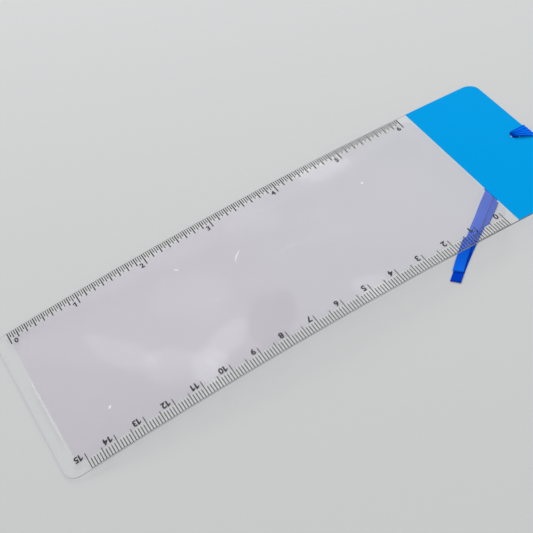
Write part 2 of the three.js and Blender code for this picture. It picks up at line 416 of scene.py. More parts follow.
def blueSatin(name, look, creaseShaded):
    material, tree, shader = newMaterial(name)
    woven = addNode(tree, "ShaderNodeUVMap", uv_map="weave").outputs["UV"]
    along = addNode(tree, "ShaderNodeSeparateXYZ", {"Vector": woven}).outputs["X"]
    # the tone from near to far carries painted shade along the ribbon
    tone = mixColours(tree, shareOf(tree, along, *look["turn"]), look["near"], look["far"])
    # a creased ribbon gets painted shade in bands across it, the others a random cloudy tone
    if creaseShaded:
        shade = spread(tree, addWave(tree, woven, "Y", *satin["creases"]), *satin["paintedCreaseShade"])
    else:
        shade = spread(tree, addNoise(tree, *satin["clouds"]), *satin["cloudShades"])
    shadeColour(tree, shader, tone, shade)
    threads = addWave(tree, woven, "Y", *satin["threads"])
    floats = addWave(tree, woven, "X", *satin["floats"])
    weave = addMath(tree, "ADD", threads, floats)
    tree.links.new(addBump(tree, weave, *satin["relief"]), shader.inputs["Normal"])
    shader.inputs["Roughness"].default_value = satin["roughness"]
    shader.inputs["Specular IOR Level"].default_value = satin["specular"]
    shader.inputs["Specular Tint"].default_value = satin["specularTint"]
    shader.inputs["Sheen Weight"].default_value = satin["sheen"]
    shader.inputs["Sheen Roughness"].default_value = satin["sheenRoughness"]
    shader.inputs["Sheen Tint"].default_value = satin["sheenTint"]
    return material


# A closed ribbon around rows of points across its middle surface, with rounded edges.
# along says how far each row is from the hole.
def ribbonMesh(name, rows, along):
    bm = bmesh.new()
    layer = bm.loops.layers.uv.new("weave")
    half = ribbon["thickness"] / 2
    across = [share * ribbon["width"] / 2 for share in columnShares]
    places = across + [across[-1]] + across[::-1] + [across[0]]
    count = len(across)
    rings = []
    for i, row in enumerate(rows):
        ahead = rows[min(i + 1, len(rows) - 1)]
        behind = rows[max(i - 1, 0)]
        upper, lower = [], []
        for k, point in enumerate(row):
            aside = row[min(k + 1, count - 1)] - row[max(k - 1, 0)]
            normal = (ahead[k] - behind[k]).cross(aside).normalized() * half
            upper.append(point + normal)
            lower.append(point - normal)
        first = (row[0] - row[1]).normalized() * half
        last = (row[-1] - row[-2]).normalized() * half
        ring = upper + [row[-1] + last] + lower[::-1] + [row[0] + first]
        rings.append([(bm.verts.new(point), along[i], place) for point, place in zip(ring, places)])

    def addFace(corners):
        face = bm.faces.new([corner[0] for corner in corners])
        for loop, corner in zip(face.loops, corners):
            loop[layer].uv = (corner[1] / mm, corner[2] / mm)

    size = len(rings[0])
    for before, after in zip(rings, rings[1:]):
        for k in range(size):
            addFace((before[k - 1], before[k], after[k], after[k - 1]))
    for ring in (rings[0], rings[-1]):
        for k in range(count - 1):
            addFace((ring[k], ring[k + 1], ring[2 * count - 1 - k], ring[2 * count - k]))
        addFace((ring[count - 1], ring[count], ring[count + 1]))
        addFace((ring[2 * count], ring[2 * count + 1], ring[0]))
    return meshFrom(bm, name)


# A smooth line through the points of a route, with even steps
def smoothRoute(points, step):
    dense = []
    for i in range(len(points) - 1):
        before = points[max(i - 1, 0)]
        here, there = points[i], points[i + 1]
        after = points[min(i + 2, len(points) - 1)]
        for k in range(ribbon["routeSteps"]):
            t = k / ribbon["routeSteps"]
            dense.append(
                0.5 * ((2 * here) + (there - before) * t + (2 * before - 5 * here + 4 * there - after) * t * t
                       + (3 * here - before - 3 * there + after) * t * t * t)
            )
    dense.append(points[-1])
    total = sum((b - a).length for a, b in zip(dense, dense[1:]))
    count = round(total / step)
    line, walked, target = [dense[0]], 0, total / count
    for a, b in zip(dense, dense[1:]):
        length = (b - a).length
        while walked + length >= target - ribbon["routeSlack"] and len(line) <= count:
            line.append(a.lerp(b, (target - walked) / length))
            target += total / count
        walked += length
    return line, total


def routeInMetres(route):
    steps = [Vector((x * mm, y * mm, 0)) for x, y in route]
    steps[0] = steps[0].normalized() * ribbon["rootReach"]
    return [step + Vector((card["holeX"], card["holeY"], 0)) for step in steps]


def buildTail(tail, material):
    line, total = smoothRoute(routeInMetres(tail["route"]), ribbon["rowStep"])
    rows, along = [], []
    for i, point in enumerate(line):
        ahead = (line[min(i + 1, len(line) - 1)] - line[max(i - 1, 0)]).normalized()
        aside = Vector((-ahead.y, ahead.x, 0))
        walked = total * i / (len(line) - 1)
        gathered = 1 - smoothShare(walked / ribbon["gatherLength"])
        width = ribbon["width"] * (1 - (1 - ribbon["gather"]) * gathered)
        row = []
        for share in columnShares:
            wave = math.sin(2 * math.pi * walked / tail["wave"] + tail["seed"] + ribbon["waveSkew"] * share)
            pleat = gathered * math.cos(ribbon["rootPleats"] * math.pi * share)
            height = tail["height"] + tail["ripple"] * (wave * (1 - gathered) + pleat)
            reach = share * width / 2 + tail["aside"] * (1 - gathered)
            row.append(point + aside * reach + upward * height)
        rows.append(row)
        along.append(walked)
    mesh = ribbonMesh(tail["name"], rows, along)
    piece = addPiece(tail["name"], mesh, [material], tail["body"], [tail["node"]])


# painted shade: the short tail is darker under the card, the long tail beyond it
satinFace = blueSatin("satinFace", satin["shortTail"], False)
satinLongTail = blueSatin("satinLongTail", satin["longTail"], False)
buildTail(shortTail, satinFace)
buildTail(longTail, satinLongTail)
print("tails built")

# The loop: one ribbon from the hole over the card's end, back below it, round the throat and out again

loop = {
    "gap": 0.15 * mm,  # between the ribbon and the card
    "tipX": 88.85 * mm,
    "topRows": 14,
    "turnRows": 9,
    "underRows": 7,
    "bightRows": 15,
    "bightRadius": 2.15 * mm,
    "bightWidth": 0.95 * mm,
    "tipDrop": 0.45 * mm,
    "tipDropLength": 0.8 * mm,
    "puff": 0.16 * mm,
    "pleat": 0.13 * mm,
    "pleats": 2.2,
    "flatPleat": 0.35,  # share of the pleats that is left where the ribbon isn't gathered
    "puffSpeed": 1.5,  # how much faster than their rows the puff, the lift and the narrowing grow
    "liftSpeed": 3,
    "narrowSpeed": 1.4,
}
legs = [
    # places across the card at the end edge and at the tip, widths there, and lift over the other leg
    {"edgeY": 1.5 * mm, "tipY": 1.9 * mm, "tipWidth": 1.5 * mm, "lift": 0, "seed": 0.3},
    {"edgeY": -2 * mm, "tipY": 1.15 * mm, "tipWidth": 1.7 * mm, "lift": 0.17 * mm, "seed": 1.6},
]


def loopTopRow(leg, share):
    x = card["halfLength"] + share * (loop["tipX"] - card["halfLength"])
    fromTip = (1 - share) * (card["halfLength"] - loop["tipX"])
    drop = loop["tipDrop"] * (1 - smoothShare(fromTip / loop["tipDropLength"]))
    puff = loop["puff"] * smoothShare(share * loop["puffSpeed"])
    lift = leg["lift"] * smoothShare(share * loop["liftSpeed"])
    clear = card["thickness"] + loop["gap"] + ribbon["thickness"] / 2
    y = leg["edgeY"] + share * (leg["tipY"] - leg["edgeY"])
    width = ribbon["width"] + share * (leg["tipWidth"] - ribbon["width"])
    return Vector((x, y, archHeight(x) + clear + puff + lift - drop)), acrossCard, width, upward


def loopTurnRow(leg, share):
    angle = (0.5 - share) * math.pi
    radius = card["thickness"] / 2 + loop["gap"] + ribbon["thickness"] / 2
    outward = Vector((math.cos(angle), 0, math.sin(angle)))
    x = card["halfLength"]
    middle = Vector((x, leg["edgeY"], archHeight(x) + card["thickness"] / 2))
    return middle + outward * radius, acrossCard, ribbon["width"], outward


def loopUnderRow(leg, side, share):
    eased = smoothShare(share)
    x = card["halfLength"] + share * (card["holeX"] - card["halfLength"])
    y = leg["edgeY"] + eased * (card["holeY"] + side * loop["bightRadius"] - leg["edgeY"])
    z = archHeight(x) - loop["gap"] - ribbon["thickness"] / 2 - loop["pleat"] * eased
    narrowed = smoothShare(share * loop["narrowSpeed"])
    width = ribbon["width"] + narrowed * (loop["bightWidth"] - ribbon["width"])
    return Vector((x, y, z)), acrossCard, width, -upward


def loopBightRow(share):
    angle = (0.5 + share) * math.pi
    outward = Vector((math.cos(angle), math.sin(angle), 0))
    point = Vector((card["holeX"], card["holeY"], 0)) + outward * loop["bightRadius"]
    point.z = archHeight(point.x) - loop["gap"] - ribbon["thickness"] / 2 - loop["pleat"]
    return point, outward, loop["bightWidth"], -upward


# The rows from one tip to the other: middle, aside, width, outward, how gathered they are and their seed
def loopStations():
    topShares = [1 - i / loop["topRows"] for i in range(loop["topRows"])]
    turnShares = [i / loop["turnRows"] for i in range(loop["turnRows"] + 1)]
    underShares = [i / loop["underRows"] for i in range(1, loop["underRows"] + 1)]
    runs = []
    for leg, side in ((legs[0], 1), (legs[1], -1)):
        run = [(loopTopRow(leg, share), share) for share in topShares]
        run += [(loopTurnRow(leg, share), 0) for share in turnShares]
        run += [(loopUnderRow(leg, side, share), share) for share in underShares]
        runs.append([(*row, gathered, leg["seed"]) for row, gathered in run])
    bight = [(*loopBightRow(i / loop["bightRows"]), 1, legs[0]["seed"]) for i in range(1, loop["bightRows"])]
    back = [(point, -aside, *rest) for point, aside, *rest in reversed(runs[1])]
    return runs[0] + bight + back


def buildLoop(material):
    rows, along, walked, before = [], [], 0, None
    for point, aside, width, outward, gathered, seed in loopStations():
        depth = loop["pleat"] * (loop["flatPleat"] + (1 - loop["flatPleat"]) * gathered)
        row = []
        for share in columnShares:
            fold = depth * math.cos(loop["pleats"] * math.pi * share + seed)
            row.append(point + aside * share * width / 2 + outward * fold)
        walked += (point - before).length if before else 0
        before = point
        rows.append(row)
        along.append(walked)
    mesh = ribbonMesh("ribbonLoop", rows, [min(distance, walked - distance) for distance in along])
    addPiece("ribbonLoop", mesh, [material], "card", ["ribbon_loop"])


throat = {
    "radius": 1.14 * mm,
    "pleat": 0.2 * mm,
    "pleats": 6,
    "twist": 1.1,
    "points": 72,
    "rows": 16,
    "topDrop": 0.32 * mm,
    "endWidth": 0.75,  # share of its width at its ends
    "blunt": 0.08,  # the share of its height at each end that is no narrower
    "weaveAcross": 0.1,  # weave units from one point to the next
}


def buildThroat(material):
    height = cardTop(card["holeX"]) - throat["topDrop"]
    bm = bmesh.new()
    layer = bm.loops.layers.uv.new("weave")
    rings = []
    for i in range(throat["rows"] + 1):
        share = i / throat["rows"]
        inner = min(max(share, throat["blunt"]), 1 - throat["blunt"])
        ends = throat["endWidth"] + (1 - throat["endWidth"]) * math.sqrt(math.sin(math.pi * inner))
        ring = []
        for k in range(throat["points"]):
            angle = 2 * math.pi * k / throat["points"]
            fold = math.cos(throat["pleats"] * (angle - throat["twist"] * share))
            radius = (throat["radius"] + throat["pleat"] * fold) * ends
            x = card["holeX"] + radius * math.cos(angle)
            y = card["holeY"] + radius * math.sin(angle)
            ring.append(bm.verts.new((x, y, height * share)))
        rings.append(ring)
    for i, (low, high) in enumerate(zip(rings, rings[1:])):
        for k in range(throat["points"]):
            face = bm.faces.new((low[k - 1], low[k], high[k], high[k - 1]))
            weave = ((i, k - 1), (i, k), (i + 1, k), (i + 1, k - 1))
            for corner, (row, column) in zip(face.loops, weave):
                corner[layer].uv = (height * row / throat["rows"] / mm, column * throat["weaveAcross"])
    bm.faces.new(rings[0][::-1])
    bm.faces.new(rings[-1])
    mesh = meshFrom(bm, "ribbonThroat")
    addPiece("ribbonThroat", mesh, [material], "ribbon", ["ribbon_throat"])


# the loop gets painted shade at its tips and in its creases
buildLoop(blueSatin("satinLoop", satin["loop"], True))
buildThroat(satinFace)
print("loop and throat built")

# Clear plastic

clearFinish = {
    "colour": (0.997, 0.998, 1, 1),
    "roughness": (0.02, 0.08),  # varies between these with the scuffs
    "index": 1.49,
    "scuffs": (900, 3),
    "scuffRelief": (0.004 * mm, 0.5),
    "lightThrough": (0.975, 0.976, 0.978, 1),
}


def clearPlastic():
    finish = clearFinish
    material, tree, shader = newMaterial("clearPlastic")
    shader.inputs["Base Color"].default_value = finish["colour"]
    shader.inputs["IOR"].default_value = finish["index"]
    shader.inputs["Transmission Weight"].default_value = 1
    scuffs = addNoise(tree, *finish["scuffs"])
    tree.links.new(spread(tree, scuffs, *finish["roughness"]), shader.inputs["Roughness"])
    tree.links.new(addBump(tree, scuffs, *finish["scuffRelief"]), shader.inputs["Normal"])
    passLight(tree, shader.outputs[0], finish["lightThrough"])
    return material


shadedCutEdgeFinish = {
    # grey: painted shade for the dark line along the edge
    "colour": (0.5, 0.51, 0.56),
    "mottle": (2500, 3),
    "shades": (0.85, 1.15),
    "roughness": 0.7,
    "specular": 0.1,
    "clear": 0.5,
    "lightThrough": (0.8, 0.82, 0.85, 1),
}


# The stamped edge of the card is slightly frosted, and its grey is painted shade: the dark line that the edge
# of clear plastic shows
def cutEdge():
    finish = shadedCutEdgeFinish
    material, tree, shader = mottledFinish("cutEdge", finish)
    clear = clearShader(tree, finish["lightThrough"])
    frosted = mixShaders(tree, finish["clear"], shader.outputs[0], clear)
    passLight(tree, frosted, finish["lightThrough"])
    return material


# Card, with the shallow pocket that the lens lies in

lens = {
    "left": -90.2 * mm,
    "right": 65.9 * mm,
    "halfWidth": 28.8 * mm,
    "middleY": 0.5 * mm,
    "cornerRadius": 3 * mm,
    "cornerSteps": 6,
    "turnSteps": 8,  # steps round a corner of the sheet
    "pocketDepth": 0.06 * mm,
    "bondGap": 0.02 * mm,
    "rimThickness": 0.01 * mm,
    "feather": 2.2 * mm,  # its edge fades into the card over this width
    "featherSteps": 4,
    "ringPitch": 3 * mm,
    "ringHeight": 0.001 * mm,
    "meshStep": 0.75 * mm,
    "facetSlope": 5.2,  # slope of its ridges for each metre from its middle
}
lens["middleX"] = (lens["left"] + lens["right"]) / 2


# How far a place lies inside the lens outline
def depthInLens(x, y):
    overX = abs(x - lens["middleX"]) - (lens["right"] - lens["left"]) / 2 + lens["cornerRadius"]
    overY = abs(y - lens["middleY"]) - lens["halfWidth"] + lens["cornerRadius"]
    outside = math.hypot(max(overX, 0), max(overY, 0)) + min(max(overX, overY), 0)
    return lens["cornerRadius"] - outside


def pocketFloor(x, y):
    depth = lens["pocketDepth"] * smoothShare(depthInLens(x, y) / lens["feather"])
    return cardTop(x) - depth


def buildCard():
    bm = bmesh.new()
    outside = roundedOutline(
        -card["halfLength"], card["halfLength"], card["halfWidth"],
        card["cornerRadius"], card["cornerRadius"], card["cornerSteps"],
    )
    outerEdges = addLoop(bm, outside)[1]
    holeEdges = addLoop(bm, holeOutline())[1]
    rings = []
    for k in range(lens["featherSteps"] + 1):
        inset = lens["feather"] * k / lens["featherSteps"]
        radius = lens["cornerRadius"] - inset
        points = roundedOutline(
            lens["left"] + inset, lens["right"] - inset, lens["halfWidth"] - inset,
            radius, radius, lens["cornerSteps"],
        )
        rings.append(addLoop(bm, [(x, y + lens["middleY"]) for x, y in points]))
    edges = outerEdges + holeEdges + rings[0][1]
    bmesh.ops.triangle_fill(bm, use_beauty=True, use_dissolve=False, edges=edges)
    for (before, _), (after, _) in zip(rings, rings[1:]):
        for i in range(len(before)):
            bm.faces.new((before[i - 1], before[i], after[i], after[i - 1]))
    bm.faces.new(rings[-1][0])
    cutIntoBars(bm, -card["halfLength"], card["halfLength"])
    mesh = thickenSheet(bm, "clearCard", pocketFloor, archHeight, card["rim"])
    for face in mesh.polygons:
        if face.material_index == 0 and depthInLens(face.center.x, face.center.y) > 0:
            face.material_index = 2 if face.normal.z > 0 else 3
    finishes = [clearPlastic(), cutEdge(), wettedBond("cardBond"), lensPlastic("lensRidges", True)]
    addPiece("clearCard", mesh, finishes, "card", ["clear_card"])


# Lens sheet

lensFinish = {
    "colour": (0.95, 0.91, 0.985, 1),  # violet near its outer end
    "panelEndColour": (0.915, 0.915, 0.96, 1),
    "colourTurn": (-0.02, 0.06),  # where along the card the one gives way to the other
    "roughness": 0.045,
    "index": 1.49,
    "haze": 0.07,
    "ridgeGloss": (0.3, 0.3, 0.31, 1),
    "risers": (0.15, 0.5),  # shares of mirrored light between which the light takes to the risers
    "warp": (26, 1.5),
    "warpRelief": (0.3 * mm, 1),
    "lightThrough": (0.955, 0.955, 0.96, 1),
}


# The two faces that are bonded together don't show
def wettedBond(name):
    material, _, shader = newMaterial(name)
    shader.inputs["Alpha"].default_value = 0
    return material


# The normals of ridges whose slope grows from the middle of the lens. Where the facets would throw
# everything back, the light goes through their risers.
def ridgeNormals(tree, place):
    middle = (lens["middleX"], lens["middleY"], 0)
    fromMiddle = addVectorMath(tree, "SUBTRACT", place, middle)[0]
    flat = addVectorMath(tree, "MULTIPLY", fromMiddle, (1, 1, 0))[0]
    square = addVectorMath(tree, "DOT_PRODUCT", flat, flat)["Value"]
    facets = addBump(tree, addMath(tree, "MULTIPLY", square, lens["facetSlope"] / 2), 1, 1)
    mirrored = addNode(tree, "ShaderNodeFresnel", {"IOR": lensFinish["index"], "Normal": facets}).outputs[0]
    risers = shareOf(tree, mirrored, *lensFinish["risers"])
    smooth = addNode(tree, "ShaderNodeNewGeometry").outputs["Normal"]
    return addNode(tree, "ShaderNodeMix", {0: risers, 4: facets, 5: smooth}, data_type="VECTOR").outputs[1]


def lensPlastic(name, ridged):
    finish = lensFinish
    material, tree, shader = newMaterial(name)
    shader.inputs["IOR"].default_value = finish["index"]
    shader.inputs["Transmission Weight"].default_value = 1 if ridged else 1 - finish["haze"]
    shader.inputs["Roughness"].default_value = finish["roughness"]
    place = objectPlace(tree)
    along = addNode(tree, "ShaderNodeSeparateXYZ", {"Vector": place}).outputs["X"]
    turn = shareOf(tree, along, *finish["colourTurn"])
    tint = mixColours(tree, turn, finish["colour"], finish["panelEndColour"])
    tree.links.new(tint, shader.inputs["Base Color"])
    if ridged:
        shader.inputs["Specular Tint"].default_value = finish["ridgeGloss"]
        relief = ridgeNormals(tree, place)
    else:
        relief = addBump(tree, addNoise(tree, *finish["warp"]), *finish["warpRelief"])
    tree.links.new(relief, shader.inputs["Normal"])
    passLight(tree, shader.outputs[0], finish["lightThrough"])
    return material


def ringRelief(x, y):
    radius = math.hypot(x - lens["middleX"], y - lens["middleY"])
    wave = 0.5 - 0.5 * math.cos(2 * math.pi * radius / lens["ringPitch"])
    return lens["ringHeight"] * wave * smoothShare(depthInLens(x, y) / lens["feather"])


def lensTop(x, y):
    return cardTop(x) + lens["bondGap"] + lens["rimThickness"] + ringRelief(x, y)


def lensBottom(x, y):
    return pocketFloor(x, y) + lens["bondGap"]


def lensHalfWidthAt(x):
    radius = lens["cornerRadius"]
    intoCorner = abs(x - lens["middleX"]) - (lens["right"] - lens["left"]) / 2 + radius
    if intoCorner <= 0:
        return lens["halfWidth"]
    return lens["halfWidth"] - radius + math.sqrt(max(radius ** 2 - intoCorner ** 2, 0))


def lensStations():
    stations = []
    x = lens["left"] + lens["cornerRadius"]
    while x < lens["right"] - lens["cornerRadius"]:
        stations.append(x)
        x += lens["meshStep"]
    turns = [k * math.pi / 2 / lens["turnSteps"] for k in range(lens["turnSteps"] + 1)]
    leftCorner = [lens["left"] + lens["cornerRadius"] * (1 - math.cos(a)) for a in turns[:-1]]
    rightCorner = [lens["right"] - lens["cornerRadius"] * (1 - math.sin(a)) for a in turns]
    return leftCorner + stations + rightCorner


def buildLens():
    stations = lensStations()
    columns = 2 * round(lens["halfWidth"] / lens["meshStep"])
    bm = bmesh.new()
    layers = []
    for heightAt in (lensBottom, lensTop):
        layer = []
        for x in stations:
            half = lensHalfWidthAt(x)
            across = [lens["middleY"] + half * (2 * k / columns - 1) for k in range(columns + 1)]
            layer.append([bm.verts.new((x, y, heightAt(x, y))) for y in across])
        layers.append(layer)
    bottom, top = layers
    for i in range(len(stations) - 1):
        for k in range(columns):
            under = bm.faces.new((bottom[i][k], bottom[i][k + 1], bottom[i + 1][k + 1], bottom[i + 1][k]))
            under.material_index = 1
            bm.faces.new((top[i][k], top[i + 1][k], top[i + 1][k + 1], top[i][k + 1]))
        for k in (0, columns):
            bm.faces.new((bottom[i][k], bottom[i + 1][k], top[i + 1][k], top[i][k]))
    for i in (0, len(stations) - 1):
        for k in range(columns):
            bm.faces.new((bottom[i][k], bottom[i][k + 1], top[i][k + 1], top[i][k]))
    mesh = meshFrom(bm, "lensSheet")
    setSheetNormals(mesh, lensTop, lensBottom)
    finishes = [lensPlastic("lensFace", False), wettedBond("lensBond")]
    addPiece("lensSheet", mesh, finishes, "card", ["fresnel_lens"])


# The line pressed beside the lens, made bright by a painted highlight, and scratches in the lens, whitened as
# painted glints
endLine = {
    "x": -90.75 * mm,
    "yLow": -20.4 * mm,
    "yHigh": 10.9 * mm,
    "width": 0.9 * mm,
    "height": 0.03 * mm,
    "taper": 9 * mm,
    "steps": 40,
}
scratch = {"height": 0.015 * mm, "steps": 12}
# middle on the card, length, turn in degrees, bend and width
scratches = [
    ((-13.8 * mm, 10.3 * mm), 5.5 * mm, 44, 0.4 * mm, 0.5 * mm),
    ((-33 * mm, 18.2 * mm), 2.2 * mm, -48, 0.1 * mm, 0.5 * mm),
    ((35.8 * mm, 12.6 * mm), 1.1 * mm, 60, 0, 0.8 * mm),
    ((-73.8 * mm, -16.5 * mm), 1.6 * mm, 40, 0, 0.8 * mm),
]
mark = {
    # white: the painted highlight of the pressed line and the painted glints of the scratches
    "colour": (0.93, 0.93, 0.95, 1),
    "lineHighlightCover": 0.14,
    "scratchGlintCover": 0.85,
    "grain": (4000, 2),
    "roughness": (0.3, 0.6),
    "lift": 0.012 * mm,
    "columns": 4,
    "tip": 0.05,  # share of its size that is left at an end
}


# A whitish see-through finish that paints the line's highlight and the scratches' glints
def markPlastic(name, cover):
    material, tree, shader = newMaterial(name)
    shader.inputs["Base Color"].default_value = mark["colour"]
    shader.inputs["Alpha"].default_value = cover
    grain = addNoise(tree, *mark["grain"])
    tree.links.new(spread(tree, grain, *mark["roughness"]), shader.inputs["Roughness"])
    return material


# A thin raised line on a surface with pointed ends
def addMark(bm, surface, start, end, bend, width, height, taper, steps):
    along = (end - start).normalized()
    aside = Vector((-along.y, along.x))
    length = (end - start).length
    columns = mark["columns"]
    rings = []
    for i in range(steps + 1):
        share = i / steps
        middle = start.lerp(end, share) + aside * bend * 4 * share * (1 - share)
        reach = min(share, 1 - share) * length
        swell = max(math.sqrt(smoothShare(reach / taper)), mark["tip"])
        ring = []
        for k in range(columns + 1):
            off = 2 * k / columns - 1
            place = middle + aside * off / 2 * width * swell
            rise = mark["lift"] + height * swell * (1 - off ** 2)
            ring.append(bm.verts.new((place.x, place.y, surface(place.x, place.y) + rise)))
        rings.append(ring)
    for before, after in zip(rings, rings[1:]):
        for k in range(columns):
            bm.faces.new((before[k], after[k], after[k + 1], before[k + 1]))
        bm.faces.new((before[0], before[columns], after[columns], after[0]))
    bm.faces.new(rings[0])
    bm.faces.new(reversed(rings[-1]))


def buildMarks():
    line = endLine
    bm = bmesh.new()
    addMark(
        bm, cardTop, Vector((line["x"], line["yLow"])), Vector((line["x"], line["yHigh"])), 0,
        line["width"], line["height"], line["taper"], line["steps"],
    )
    finish = markPlastic("pressedLineHighlight", mark["lineHighlightCover"])
    addSharpPiece(bm, "lensEndLine", finish, "fresnel_lens")

    bm = bmesh.new()
    for place, length, turnDegrees, bend, width in scratches:
        turn = math.radians(turnDegrees)
        reach = Vector((math.cos(turn), math.sin(turn))) * length / 2
        addMark(
            bm, lensTop, Vector(place) - reach, Vector(place) + reach, bend,
            width, scratch["height"], length / 2, scratch["steps"],
        )
    finish = markPlastic("scratchGlint", mark["scratchGlintCover"])
    addSharpPiece(bm, "lensScratches", finish, "fresnel_lens")


buildCard()
print("card built")
buildLens()
buildMarks()
print("lens built")

# Blue panel

panel = {
    "left": 66.3 * mm,
    "gap": 0.02 * mm,
    "thickness": 0.05 * mm,
    "colour": (0.0, 0.33, 0.77),
    "mottle": (40, 2),
    "shades": (0.97, 1.03),
    "grain": (1400, 2),
    "relief": (0.003 * mm, 0.4),
    "roughness": 0.28,
    "specular": 0.03,
    "glossTint": (0.0, 0.25, 0.6, 1),
    "lightThrough": (0.97, 0.985, 0.995, 1),
}


def bluePrint():
    material, tree, shader = mottledFinish("bluePrint", panel)
    shader.inputs["Specular Tint"].default_value = panel["glossTint"]
    passLight(tree, shader.outputs[0], panel["lightThrough"])
    return material


def panelBottom(x, y):
    return cardTop(x) + panel["gap"]


def panelTop(x, y):
    return panelBottom(x, y) + panel["thickness"]


def buildPanel():
    bm = bmesh.new()
    outline = roundedOutline(
        panel["left"], card["halfLength"], card["halfWidth"], 0, card["cornerRadius"], card["cornerSteps"],
    )
    edges = addLoop(bm, outline)[1] + addLoop(bm, holeOutline())[1]
    bmesh.ops.triangle_fill(bm, use_beauty=True, use_dissolve=False, edges=edges)
    cutIntoBars(bm, panel["left"], card["halfLength"])
    mesh = thickenSheet(bm, "bluePanel", panelTop, panelBottom, 0)
    blue = bluePrint()
    addPiece("bluePanel", mesh, [blue, blue], "card", ["blue_panel"])


buildPanel()
print("panel built")

# Rulers

ink = {
    "colour": (0.012, 0.012, 0.014),
    "mottle": (6000, 2),
    "shades": (0.6, 1.8),
    "grain": (6000, 2),
    "relief": (0.004 * mm, 0.5),
    "roughness": 0.55,
    "specular": 0.5,
    "gap": 0.02 * mm,
    "thickness": 0.03 * mm,
    "lightThrough": (0.75, 0.75, 0.76, 1),
    "bold": 0.035,  # how far the digits' outlines are moved out, in units of the type size
    "squeeze": 0.95,
    "digitGap": 0.08,  # in digit heights, as the next three are
    "digitWidth": 0.7,
    "oneWidth": 0.52,
    "one": [(0.3, 0), (0.52, 0), (0.52, 1), (0.34, 1), (0, 0.76), (0, 0.55), (0.3, 0.7)],
    "curveSteps": 4,
}
# side is the long edge of the card that a scale stands on, and ahead the way it counts along X.
# A tick has the number of parts from one to the next of its kind, its length and its width.
centimetres = {
    "side": -1,
    "ahead": -1,
    "zeroX": 63 * mm,
    "count": 15,
    "spacing": 10 * mm,
    "parts": 10,
    "inset": 0.1 * mm,
    "ticks": [(1, 3.4 * mm, 0.27 * mm), (5, 4.6 * mm, 0.27 * mm), (10, 6.1 * mm, 0.27 * mm)],
    "baseLine": 0.13 * mm,
    "basePieces": 60,
    "numberHeight": 2.4 * mm,
    "numberNear": 4.4 * mm,  # from the card's edge to the number
    "numberGap": 0.9 * mm,  # from the tick to the number
}
inches = {
    "side": 1,
    "ahead": 1,
    "zeroX": -90.2 * mm,
    "count": 6,
    "spacing": 25.4 * mm,
    "parts": 32,
    "inset": 0.28 * mm,
    "ticks": [
        (1, 2.1 * mm, 0.31 * mm), (2, 2.9 * mm, 0.31 * mm),
        (4, 3.75 * mm, 0.41 * mm), (32, 5 * mm, 0.41 * mm),
    ],
    "baseLine": 0,
    "numberHeight": 2.15 * mm,
    "numberNear": 3.8 * mm,
    "numberAside": 1.8 * mm,  # from the tick to the middle of the number
}


def blackInk():
    material, tree, shader = mottledFinish("blackInk", ink)
    passLight(tree, shader.outputs[0], ink["lightThrough"])
    return material


def inkBottom(x):
    return cardTop(x) + ink["gap"]


# One printed bar, a little narrower on top, between two places along x and two along y
def addBar(bm, x0, x1, y0, y1, pieces=1):
    bevel = ink["thickness"] / 2
    rings = []
    for k in range(pieces + 1):
        x = x0 + (x1 - x0) * k / pieces
        inset = bevel if k == 0 else -bevel if k == pieces else 0
        low = inkBottom(x)
        high = low + ink["thickness"]
        rings.append([
            bm.verts.new((x, y0, low)), bm.verts.new((x, y1, low)),
            bm.verts.new((x + inset, y1 - bevel, high)), bm.verts.new((x + inset, y0 + bevel, high)),
        ])
    for before, after in zip(rings, rings[1:]):
        for k in range(4):
            bm.faces.new((before[k - 1], before[k], after[k], after[k - 1]))
    bm.faces.new(rings[0])
    bm.faces.new(reversed(rings[-1]))


# One digit as a flat shape, one unit high, from its lower left corner. The one is a stem with a flag.
def digitShape(digit):
    glyph = bmesh.new()
    if digit == "1":
        glyph.faces.new([glyph.verts.new((x, y, 0)) for x, y in ink["one"]])
        return glyph, ink["oneWidth"]
    curve = bpy.data.curves.new("digit", "FONT")
    curve.body = digit
    curve.offset = ink["bold"]
    curve.resolution_u = ink["curveSteps"]
    writing = bpy.data.objects.new("digit", curve)
    bpy.context.scene.collection.objects.link(writing)
    bpy.context.view_layer.update()
    mesh = bpy.data.meshes.new_from_object(writing.evaluated_get(bpy.context.evaluated_depsgraph_get()))
    bpy.data.objects.remove(writing)
    glyph.from_mesh(mesh)
    left = min(corner.co.x for corner in glyph.verts)
    low = min(corner.co.y for corner in glyph.verts)
    height = max(corner.co.y for corner in glyph.verts) - low
    for corner in glyph.verts:
        corner.co = ((corner.co.x - left) / height, (corner.co.y - low) / height, 0)
    return glyph, max(corner.co.x for corner in glyph.verts)


# Lays a number on the bow of the card, its middle at the place given. Turned, it reads towards -X.
def addNumber(bm, text, x, y, height, turned):
    shapes = [digitShape(digit) for digit in text]
    widths = [width * ink["squeeze"] for _, width in shapes]
    total = sum(widths) + ink["digitGap"] * (len(text) - 1)
    side = -height if turned else height
    start = -total / 2
    for (glyph, _), width in zip(shapes, widths):
        top = raiseFaces(glyph)
        for corner in glyph.verts:
            placeX = x + side * (start + corner.co.x * ink["squeeze"])
            placeY = y + side * (corner.co.y - 0.5)
            corner.co = (placeX, placeY, inkBottom(placeX) + (ink["thickness"] if corner in top else 0))
        bmesh.ops.triangulate(glyph, faces=glyph.faces[:])
        bmesh.ops.recalc_face_normals(glyph, faces=glyph.faces[:])
        shaped = bpy.data.meshes.new("digit")
        glyph.to_mesh(shaped)
        glyph.free()
        bm.from_mesh(shaped)
        start += width + ink["digitGap"]


def numberWidth(text, scale):
    shares = [ink["oneWidth"] if digit == "1" else ink["digitWidth"] for digit in text]
    return scale["numberHeight"] * (sum(shares) * ink["squeeze"] + ink["digitGap"] * (len(text) - 1))


# Centimetre numbers end beside their tick, and inch numbers stand at an even distance from theirs
def numberMiddle(scale, i):
    tick = scale["zeroX"] + scale["ahead"] * i * scale["spacing"]
    if scale is centimetres:
        return tick - scale["numberGap"] - numberWidth(str(i), scale) / 2
    return tick + (scale["numberAside"] if i == 0 else -scale["numberAside"])


